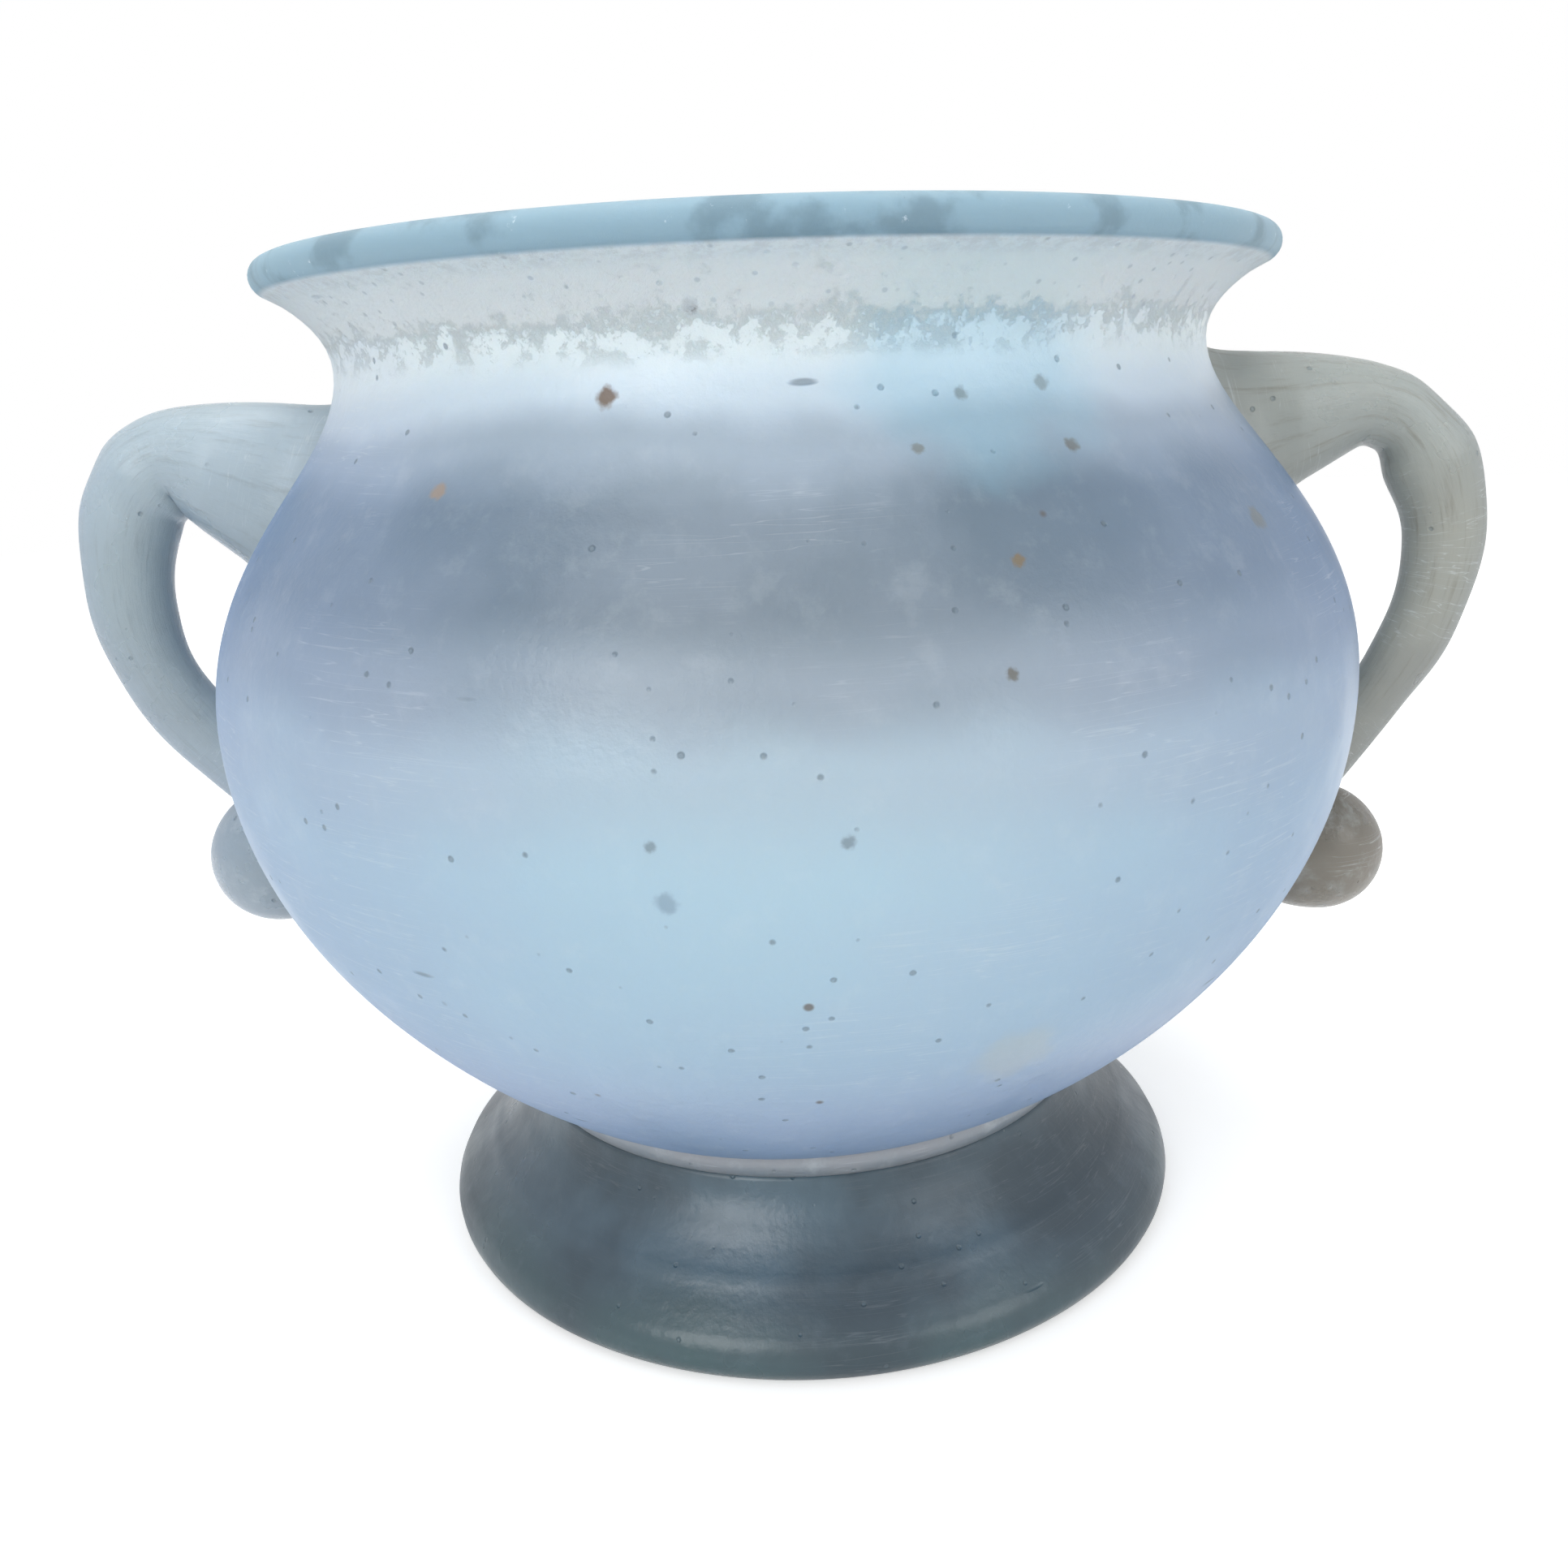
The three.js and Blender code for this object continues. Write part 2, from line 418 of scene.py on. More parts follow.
@dataclass(frozen=True)
class GlassFinish:
    """Soda-lime glass, blown or drawn hot, whose skin has weathered in the ground.

    Light enters it and spreads, so the eye sees a soft, milky body with a satin gloss. Where the wall turns
    away from the camera it is bluer, partly the deeper colour of glass seen along its length and partly
    painted shade and bluish rim light. Over it lie clouds, a mottle of some millimetres, fine scratches,
    pits, slanted nicks and specks. Tones are sRGB colours at heights in mm, from the lowest up. Sizes are in
    mm, bands are the noise values between which a layer fades in, and scratch_counts is how many
    scratches fit in a metre, along and across.
    """

    name: str
    tones: tuple[tuple[float, str], ...]
    edge: str
    cloud: str
    cloud_size: float = 45.0
    cloud_amount: float = 0.35
    cloud_band: Pair = (0.38, 0.64)
    wander: float = 14.0
    edge_amount: float = 0.55
    edge_blend: float = 0.45
    edge_fade: Pair = (168.0, 150.0)
    mottle: str = "DDE6EA"
    mottle_size: float = 7.0
    mottle_amount: float = 0.25
    mottle_band: Pair = (0.5, 0.72)
    streak_length: float = 1.0
    scratch: str = "E4ECEF"
    scratch_amount: float = 0.35
    scratch_turn: float = 0.35
    scratch_counts: Pair = (26.0, 700.0)
    scratch_line: Pair = (0.012, 0.002)
    scratch_band: Pair = (0.5, 0.62)
    pits: Spots = PITS
    nicks: Spots = NICKS
    nick_turn: float = 0.55
    nick_length: float = 5.0
    specks: Spots = SPECKS
    gloss: Pair = (0.32, 0.55)
    transmission: float = 0.25
    scatter: float = 0.6
    depth: float = 7.0
    absorption: str = "9DB9E6"
    density: float = 30.0
    relief: float = 0.5
    bump_strength: float = 0.8
    fine_size: float = 1.8
    fine_relief: float = 0.35
    mottle_relief: float = 0.5
    pit_relief: float = -0.8

    def body(self, tree: Tree, height: Socket, drift: Socket, cloud: Socket) -> Socket:
        """Colour the body by height, under clouds and an edge tone that is partly the wall seen along its
        length and partly painted shade and bluish rim light.

        Args:
            tree: the node tree.
            height: the height in metres.
            drift: a slow noise that moves the tones up and down.
            cloud: where the clouds are.

        Returns:
            The body's colour.
        """
        low, high = self.tones[0][0], self.tones[-1][0]
        wander = add(tree, Kind.MULTIPLY_ADD, drift, self.wander * MM, -self.wander * MM / 2)
        level = add(tree, Kind.ADD, height, wander)
        share = add(tree, Kind.SPREAD, level, low * MM, high * MM)
        colour = add(tree, Kind.RAMP, share)
        ramp = colour.node.color_ramp
        ramp.interpolation = "EASE"
        for index, (tone_height, _) in enumerate(self.tones):
            spot = (tone_height - low) / (high - low)
            point = ramp.elements[index] if index < 2 else ramp.elements.new(spot)
            point.position = spot
        for point, (_, tone) in zip(ramp.elements, self.tones):
            point.color = srgb(tone)
        colour = lay(tree, colour, cloud, self.cloud_amount, self.cloud)
        # Painted shade and bluish rim light: the edge tone goes where the wall turns from the camera, partly
        # also the deeper colour of glass seen along its wall.
        slant = add(tree, Kind.SLANT, self.edge_blend)
        slant = add(tree, Kind.MULTIPLY, slant, rising(tree, height, *self.edge_fade))
        return lay(tree, colour, slant, self.edge_amount, self.edge)

    def weathered(self, tree: Tree, place: Socket, drift: Socket, colour: Socket) -> tuple[Socket, Socket]:
        """Lay the mottle, scratches, pits, nicks and specks over the body.

        The scratches are the thin level lines of a noise stretched along the skin, in patches.

        Args:
            tree: the node tree.
            place: the coordinates in metres.
            drift: a slow noise.
            colour: the body's colour.

        Returns:
            The colour and the relief.
        """
        skin = add(tree, Kind.SKIN_MAP)
        drawn = add(tree, Kind.MAPPING, skin, Scale=(1.0, 1 / self.streak_length, 1.0))
        grain = add(tree, Kind.NOISE, Vector=drawn, Scale=per_mm(self.mottle_size), Detail=7.0,
                    Roughness=0.68)
        mottle = add(tree, Kind.STEP, grain, *self.mottle_band)
        colour = lay(tree, colour, mottle, self.mottle_amount, self.mottle)
        stretched = add(tree, Kind.MAPPING, skin, Rotation=(0.0, 0.0, self.scratch_turn),
                        Scale=(*self.scratch_counts, 1.0))
        hair = add(tree, Kind.NOISE, Vector=stretched, Scale=1.0, Detail=2.0)
        middle = add(tree, Kind.ABSOLUTE, add(tree, Kind.SUBTRACT, hair, 0.5))
        line = add(tree, Kind.STEP, middle, *self.scratch_line)
        patches = add(tree, Kind.STEP, drift, *self.scratch_band)
        scratches = add(tree, Kind.MULTIPLY, line, patches)
        colour = lay(tree, colour, scratches, self.scratch_amount, self.scratch)
        slanted = add(tree, Kind.MAPPING, skin, Rotation=(0.0, 0.0, self.nick_turn),
                      Scale=(1 / self.nick_length, 1.0, 1.0))
        masks = []
        for spots, where in ((self.pits, place), (self.nicks, slanted), (self.specks, place)):
            masks.append(spots.mask(tree, where))
            colour = lay(tree, colour, masks[-1], spots.amount, spots.tone)
        holes = add(tree, Kind.MAXIMUM, *masks[:2])
        bump = add(tree, Kind.MULTIPLY, holes, self.pit_relief)
        bump = add(tree, Kind.MULTIPLY_ADD, grain, self.mottle_relief, bump)
        fine = add(tree, Kind.NOISE, Vector=place, Scale=per_mm(self.fine_size), Detail=4.0)
        return colour, add(tree, Kind.MULTIPLY_ADD, fine, self.fine_relief, bump)

    def layers(self, tree: Tree, place: Socket, height: Socket, colour: Socket,
               bump: Socket) -> tuple[Socket, Socket, Any]:
        """Give the colour and the relief as they are, and no added roughness: most finishes end here."""
        return colour, bump, 0.0

    def material(self) -> bpy.types.Material:
        """Build the material from the body's tones up to its relief.

        Returns:
            The material.
        """
        material = bpy.data.materials.new(self.name)
        material.use_nodes = True
        tree = material.node_tree
        tree.nodes.clear()
        place = add(tree, Kind.PLACE)
        up = add(tree, Kind.AXES, place)
        height = add(tree, Kind.MULTIPLY_ADD, up.node.outputs["X"], MOUTH_LEAN, up)
        drift = add(tree, Kind.NOISE, Vector=place, Scale=per_mm(self.cloud_size), Detail=4.0,
                    Roughness=0.55)
        cloud = add(tree, Kind.STEP, drift, *self.cloud_band)
        colour = self.body(tree, height, drift, cloud)
        colour, bump = self.weathered(tree, place, drift, colour)
        colour, bump, rougher = self.layers(tree, place, height, colour, bump)
        gloss = add(tree, Kind.SPREAD, cloud, 0.0, 1.0, *self.gloss)
        normal = add(tree, Kind.BUMP, Strength=self.bump_strength, Distance=self.relief * MM, Height=bump)
        shader = add(tree, Kind.GLASS, colour, IOR=1.5, Normal=normal, **{
            "Roughness": add(tree, Kind.ADD, gloss, rougher), "Transmission Weight": self.transmission,
            "Subsurface Weight": self.scatter, "Subsurface Radius": (0.7, 0.85, 1.0),
            "Subsurface Scale": self.depth * MM})
        absorb = add(tree, Kind.ABSORPTION, srgb(self.absorption), self.density)
        add(tree, Kind.MATERIAL, shader, absorb)
        return material


@dataclass(frozen=True)
class Mark:
    """A speck or stain on the bowl: degrees from the front, height and radius in mm, strength, tone."""

    angle: float
    height: float
    radius: float
    amount: float
    tone: str
    ragged: float = 1.2
    soft_edge: Pair = (1.9, 1.1)

    def mask(self, tree: Tree, place: Socket, wall_radius: float) -> Socket:
        """Give 1 near the mark's middle on the wall, with an edge that a noise makes ragged.

        Args:
            tree: the node tree.
            place: the coordinates in metres.
            wall_radius: the wall's radius at the mark's height, in mm.

        Returns:
            The mask.
        """
        turn = np.radians(self.angle)
        middle = (wall_radius * np.sin(turn) * MM, -wall_radius * np.cos(turn) * MM, self.height * MM)
        away = add(tree, Kind.AWAY, place, middle)
        noise = add(tree, Kind.NOISE, Vector=place, Scale=self.ragged * per_mm(self.radius), Detail=3.0)
        edge = add(tree, Kind.MULTIPLY_ADD, noise, self.radius * MM * self.ragged, away)
        outer, inner = (self.radius * share for share in self.soft_edge)
        return rising(tree, edge, outer, inner)


MARKS = (
    Mark(-16.2, 164.2, 1.5, 0.9, "6E5233"), Mark(-32.8, 152.8, 1.4, 0.7, "A98F74"),
    Mark(18.4, 162.3, 1.0, 0.8, "6B5A45"), Mark(27.8, 163.2, 1.2, 0.7, "77664F"),
    Mark(28.4, 154.7, 1.2, 0.8, "6B5A45"), Mark(18.7, 141.3, 1.0, 0.8, "86724F"),
    Mark(16.1, 128.0, 0.9, 0.8, "5F5A4C"), Mark(47.7, 141.9, 2.0, 0.6, "75766A"),
    Mark(-7.2, 175.3, 1.2, 0.8, "6E665A"), Mark(12.8, 155.7, 0.9, 0.7, "7A6D58"),
    Mark(3.6, 109.0, 1.0, 0.6, "5D6E7A"), Mark(-10.0, 109.1, 0.9, 0.6, "5D6E7A"),
    Mark(-9.3, 101.1, 1.6, 0.5, "6F8AA0"), Mark(59.0, 176.3, 1.2, 0.6, "6E665A"),
    Mark(20.6, 168.0, 19.0, 0.4, "9FD0E4"), Mark(19.5, 68.2, 7.0, 0.25, "C9C6AE"))


@dataclass(frozen=True)
class BowlFinish(GlassFinish):
    """The bowl's frosted pale blue glass, with a smooth blue-grey lip over a white, flaking crust.

    The crust is weathered glass in pale, rough flakes with gaps between them, and soil sits in its top
    edge. The lip was rubbed clean, so it is glossier, with dull patches and a few flakes left on it.
    Zones are the heights in mm between which a layer fades in.
    """

    marks: tuple[Mark, ...] = MARKS
    flake_size: float = 3.2
    crust: str = "F1FAFF"
    crust_zone: Pair = (166.5, 175.5)
    thick_zone: Pair = (171.5, 176.9)
    crust_lift: float = 0.22
    crust_band: Pair = (0.5, 0.64)
    crust_amount: float = 0.7
    crust_relief: float = 2.0
    crust_roughness: float = 0.3
    gaps: Spots = Spots(2.4, 0.42, 0.45, "8FA1AB", 0.35)
    soil: str = "8C7C66"
    soil_zone: Pair = (179.3, 181.5)
    soil_amount: float = 0.2
    soil_band: Pair = (0.42, 0.6)
    lip: str = "94B3C2"
    lip_zone: Pair = (181.6, 182.2)
    lip_relief: float = 0.4
    lip_roughness: float = -0.14
    worn: str = "5F7A88"
    worn_size: float = 14.0
    worn_band: Pair = (0.52, 0.62)
    worn_amount: float = 0.5
    flake_band: Pair = (0.62, 0.68)
    flake_amount: float = 0.6

    def layers(self, tree: Tree, place: Socket, height: Socket, colour: Socket,
               bump: Socket) -> tuple[Socket, Socket, Any]:
        """Lay the placed specks and stains, the crust, the soil under the lip and the lip over the body.

        Args:
            tree: the node tree.
            place: the coordinates in metres.
            height: the height above the foot along the leaning mouth.
            colour: the body's colour.
            bump: the body's relief.

        Returns:
            The colour, the relief and the added roughness.
        """
        for mark in self.marks:
            wall_radius = float(Bowl().wall_radius(np.array(mark.height)))
            colour = lay(tree, colour, mark.mask(tree, place, wall_radius), mark.amount, mark.tone)
        flakes = add(tree, Kind.NOISE, Vector=place, Scale=per_mm(self.flake_size), Detail=9.0,
                     Roughness=0.78)
        thick = rising(tree, height, *self.thick_zone)
        lifted = add(tree, Kind.MULTIPLY_ADD, thick, self.crust_lift, flakes)
        crusted = add(tree, Kind.MULTIPLY, add(tree, Kind.STEP, lifted, *self.crust_band),
                      rising(tree, height, *self.crust_zone))
        colour = lay(tree, colour, crusted, self.crust_amount, self.crust)
        gaps = add(tree, Kind.MULTIPLY, self.gaps.mask(tree, place), thick)
        colour = lay(tree, colour, gaps, self.gaps.amount, self.gaps.tone)
        soiled = add(tree, Kind.MULTIPLY, rising(tree, height, *self.soil_zone),
                     add(tree, Kind.STEP, flakes, *self.soil_band))
        colour = lay(tree, colour, soiled, self.soil_amount, self.soil)
        lip = rising(tree, height, *self.lip_zone)
        patches = add(tree, Kind.NOISE, Vector=place, Scale=per_mm(self.worn_size), Detail=6.0)
        worn = add(tree, Kind.STEP, patches, *self.worn_band)
        lip_colour = lay(tree, srgb(self.lip), worn, self.worn_amount, self.worn)
        left_over = add(tree, Kind.STEP, flakes, *self.flake_band)
        lip_colour = lay(tree, lip_colour, left_over, self.flake_amount, self.crust)
        colour = add(tree, Kind.BLEND, lip, colour, lip_colour)
        rough_crust = add(tree, Kind.MULTIPLY, crusted, flakes)
        bump = add(tree, Kind.MULTIPLY_ADD, rough_crust, self.crust_relief, bump)
        smooth_lip = add(tree, Kind.MULTIPLY, flakes, self.lip_relief)
        bump = add(tree, Kind.BLEND, lip, bump, smooth_lip)
        rougher = add(tree, Kind.MULTIPLY, lip, self.lip_roughness)
        rougher = add(tree, Kind.MULTIPLY_ADD, crusted, self.crust_roughness, rougher)
        return colour, bump, rougher


@dataclass
class Bowl:
    """The blown bowl: a turned wall from the middle of the bottom to a half-round lip and back inside.

    A swell is a radius in mm, how many times it goes round, the height in mm over which it turns by a
    radian, and its start in radians.
    """

    stations: tuple[Station, ...] = (
        Station(0.0, 21.0, 0.0, 0.0, 25.0, 9.0),
        Station(62.5, 36.1, 34.5, 15.0, 21.0, 5.5),
        Station(106.6, 110.4, 90.0, 36.9, 31.5, 4.2),
        Station(78.9, 170.1, 90.0, 15.3, 5.5, 4.6),
        Station(89.0, 182.4, 32.0, 6.0, 0.0, 5.1))
    steps: int = 60
    lip_steps: int = 14
    step_length: float = 1.9
    around: int = 336
    lip_swell: float = 0.35
    lip_swell_at: Pair = (181.0, 181.8)
    swells: tuple[tuple[float, int, float, float], ...] = ((0.22, 3, 31.0, 0.0), (0.16, 5, -17.0, 1.3))
    swell_from: float = 60.0

    def wall_radius(self, height: Array) -> Array:
        """Read the outer radius at each height."""
        points = outline(self.stations, self.steps)[0]
        return np.interp(height, points[:, 1], points[:, 0])

    def underside(self, radius: Array) -> Array:
        """Read the outside's height over the foot at each radius."""
        points = outline(self.stations[:3], self.steps)[0]
        return np.interp(radius, points[:, 0], points[:, 1])

    def profile(self) -> Array:
        """Join the outer outline, the lip's half circle and the inner wall, which lies along the normals.

        Returns:
            Radius and height of each row, in mm.
        """
        points, tangents, wall = outline(self.stations, self.steps)
        normals = np.stack([-tangents[:, 1], tangents[:, 0]], axis=1)
        inner = points + normals * wall
        swell = smoothstep(points[:, 1], *self.lip_swell_at) * self.lip_swell
        outer = points - normals * swell[:, None]
        middle = (points[-1] + inner[-1]) / 2
        arm = outer[-1] - middle
        turn = np.linspace(0, np.pi, self.lip_steps + 1)[1:-1]
        shrink = 1 + (np.linalg.norm(inner[-1] - middle) / np.linalg.norm(arm) - 1) * turn / np.pi
        lip = middle + np.stack([arm[0] * np.cos(turn) - arm[1] * np.sin(turn),
                                 arm[0] * np.sin(turn) + arm[1] * np.cos(turn)], axis=1) * shrink[:, None]
        line = np.vstack([spaced(outer, self.step_length), lip, spaced(inner[::-1], self.step_length)])
        line[[0, -1], 0] = 0
        return line

    def points(self) -> Array:
        """Turn the profile, add the small swells of hand work and lean the mouth.

        A swell moves the wall out by s·sin(n·a + z/h + b), fading in from the axis.

        Returns:
            The grid of points in mm.
        """
        points = turned(self.profile(), self.around)
        angle = np.arctan2(points[..., 1], points[..., 0])
        height = points[..., 2]
        wave = sum(size * np.sin(times * angle + height / rise + start)
                   for size, times, rise, start in self.swells)
        wave = wave * np.minimum(1, distance_out(points) / self.swell_from)
        points[..., 0] += np.cos(angle) * wave
        points[..., 1] += np.sin(angle) * wave
        points[..., 2] -= points[..., 0] * MOUTH_LEAN * smoothstep(height, LEAN_FROM, LEAN_FULL)
        return points

    def finish(self) -> BowlFinish:
        """Give blown, frosted glass with light and shade painted into its tones: a painted glow round the
        neck and pale below, a band of painted shade at the shoulder.
        """
        # Painted light and shade: the tones by height paint the glow of light that enters the mouth and
        # shines out through the wall, bright round the neck and pale below, and a dark band of painted shade
        # at the shoulder.
        return BowlFinish(
            name="frosted_glass_with_painted_glow_and_shade",
            tones=((30.0, "A2B7C9"), (54.0, "C4D6E6"), (76.0, "B9D6E2"), (100.0, "B9D5E2"),
                   (117.0, "B6CAD6"), (128.0, "96A5B1"), (138.0, "74848F"), (148.0, "73848E"),
                   (157.0, "AFBFCB"), (163.0, "D8E7F3"), (170.0, "E9F6FF"), (180.0, "EDF8FF")),
            edge="5A83BA", edge_amount=0.62, cloud="C4CCDA", cloud_amount=0.2, mottle_amount=0.1,
            scratch_amount=0.2, nicks=replace(NICKS, amount=0.6), pits=replace(PITS, amount=0.6),
            density=8.0)

    def build(self) -> None:
        """Make and dress the bowl."""
        make_piece("blown_bowl", self.points(), Ends.POLES, "bowl", self.finish().material())


@dataclass
class Foot:
    """The applied foot: a flared disc, hollow underneath, whose top is shaped to the bowl.

    A ridge is the height in mm of a line that the tool left, and how far it stands out.
    """

    outside: tuple[Station, ...] = (
        Station(72.5, 0.0, 0.0, 0.0, 2.6),
        Station(77.0, 4.2, 90.0, 2.4, 6.0),
        Station(57.8, 29.5, 100.0, 12.0, 0.0))
    hollow: tuple[Station, ...] = (
        Station(0.0, 12.5, 0.0, 0.0, 24.0),
        Station(61.0, 0.0, -72.0, 13.0, 0.0))
    ridges: tuple[Pair, ...] = ((8.0, 0.22), (15.0, 0.28), (21.0, 0.14))
    ridge_width: float = 0.7
    steps: int = 40
    top_steps: int = 50
    around: int = 300
    sunk: float = 0.4
    step_length: float = 1.3

    def profile(self, bowl: Bowl) -> Array:
        """Join the hollow, the standing ring, the flare with its tool ridges, and the top under the bowl.

        A ridge stands out by s·exp(−((z − h)/w)²).

        Args:
            bowl: the bowl that the top is shaped to.

        Returns:
            Radius and height of each row, in mm.
        """
        hollow = outline(self.hollow, self.steps)[0]
        flare, tangents, _ = outline(self.outside, self.steps)
        normals = np.stack([tangents[:, 1], -tangents[:, 0]], axis=1)
        rise = sum(size * np.exp(-((flare[:, 1] - height) / self.ridge_width) ** 2)
                   for height, size in self.ridges)
        flare = flare + normals * rise[:, None]
        waist = self.outside[-1]
        across = np.linspace(waist.radius, 0, self.top_steps)[1:]
        top = np.stack([across, np.minimum(waist.height, bowl.underside(across) + self.sunk)], axis=1)
        line = spaced(np.vstack([hollow, flare, top]), self.step_length)
        line[[0, -1], 0] = 0
        return line

    def finish(self) -> GlassFinish:
        """Give thick glass painted a dark slate-blue as painted shade from the bowl above it, so dark that
        only its ridges catch light, greener at the edge.
        """
        # Painted shade: the dark tones and the near-black clouds stand for the shadow that the bowl casts on
        # the foot.
        return GlassFinish(
            name="foot_glass_in_painted_shade",
            tones=((0.0, "426063"), (6.0, "476067"), (15.0, "607888"), (30.0, "66808F")),
            edge="304250", cloud="2E3C46", cloud_size=38.0, cloud_amount=0.7, mottle="8EA2AE",
            mottle_amount=0.1, specks=Spots(9.0, 0.4, 0.3, "B9C4C8", 0.8), scratch_amount=0.06,
            gloss=(0.26, 0.42), transmission=0.35, scatter=0.3, absorption="7FA0B8", density=60.0,
            relief=0.3)

    def build(self, bowl: Bowl) -> None:
        """Make and dress the foot."""
        points = turned(self.profile(bowl), self.around)
        make_piece("applied_foot", points, Ends.POLES, "foot", self.finish().material())


@dataclass
class Collar:
    """The short ring of lighter glass between the bowl and the foot."""

    radius: float = 57.6
    bulge: float = 2.0
    inner: float = 49.0
    low: float = 29.2
    high: float = 36.6
    inner_drop: float = 4.5
    sunk: float = 0.6
    steps: int = 22
    inner_steps: int = 6
    around: int = 280

    def points(self, bowl: Bowl) -> Array:
        """Turn the ring's outline, a bulge of r + b·sin(πs) outside and flat inside, under the bowl.

        Args:
            bowl: the bowl whose underside holds the ring down.

        Returns:
            The grid of points in mm.
        """
        share = np.linspace(0, 1, self.steps)
        outside = np.stack([self.radius + self.bulge * np.sin(np.pi * share),
                            self.low + (self.high - self.low) * share], axis=1)
        down = np.linspace(self.high - self.inner_drop, self.low, self.inner_steps)
        inside = np.stack([np.full(self.inner_steps, self.inner), down], axis=1)
        points = turned(np.vstack([outside, inside]), self.around)
        ceiling = bowl.underside(distance_out(points)) + self.sunk
        points[..., 2] = np.minimum(points[..., 2], ceiling)
        return points

    def finish(self) -> GlassFinish:
        """Give a thin wrap of grey glass with a faint pink cast, matt and even."""
        return GlassFinish(
            name="grey_pink_glass", tones=((28.0, "98A3AC"), (36.0, "B0B5BC")), edge="8894A0",
            cloud="A3A2A6", cloud_size=20.0, mottle_amount=0.3, scatter=0.5)

    def build(self, bowl: Bowl) -> None:
        """Make and dress the collar."""
        make_piece("collar_ring", self.points(bowl), Ends.LOOP, "foot_collar",
                   self.finish().material())


def rod_curve(points: Array, share: Array) -> Array:
    """Follow a centripetal Catmull-Rom curve through points of reach, height and half thickness.

    The knots are spaced by the fourth root of the squared distance, the ends are mirrored, and each piece
    is the cubic with the tangents that those knots give.

    Args:
        points: the points in order.
        share: shares of the way, from 0 to 1.

    Returns:
        The curve's points.
    """
    last = len(points) - 1
    line = np.vstack([2 * points[0] - points[1], points, 2 * points[-1] - points[-2]])
    place = np.clip(share, 0, 1) * last
    index = np.minimum(place.astype(int), last - 1)
    part = (place - index)[:, None]
    p0, p1, p2, p3 = line[index], line[index + 1], line[index + 2], line[index + 3]
    d0, d1, d2 = (np.maximum(((b - a) ** 2).sum(axis=1) ** 0.25, 1e-4)[:, None]
                  for a, b in ((p0, p1), (p1, p2), (p2, p3)))
    start = ((p1 - p0) / d0 - (p2 - p0) / (d0 + d1) + (p2 - p1) / d1) * d1
    end = ((p2 - p1) / d1 - (p3 - p1) / (d1 + d2) + (p3 - p2) / d2) * d1
    return (p1 + start * part + (-3 * p1 + 3 * p2 - 2 * start - end) * part**2
            + (2 * p1 - 2 * p2 + start + end) * part**3)


@dataclass(frozen=True)
class Bead:
    """A blob of glass on the wall, as its place, its radius and its stretch towards the wall.

    A dent is its depth, its middle across and up, all as shares of the radius, and its sharpness.
    """

    reach: float
    height: float
    radius: float
    stretch: float = 1.0
    rings: int = 56
    around: int = 72
    side_dent: tuple[float, ...] = (0.03, 0.7, 0.5, 4.0)
    front_dent: tuple[float, ...] = (0.025, -0.8, 0.0, 5.0)


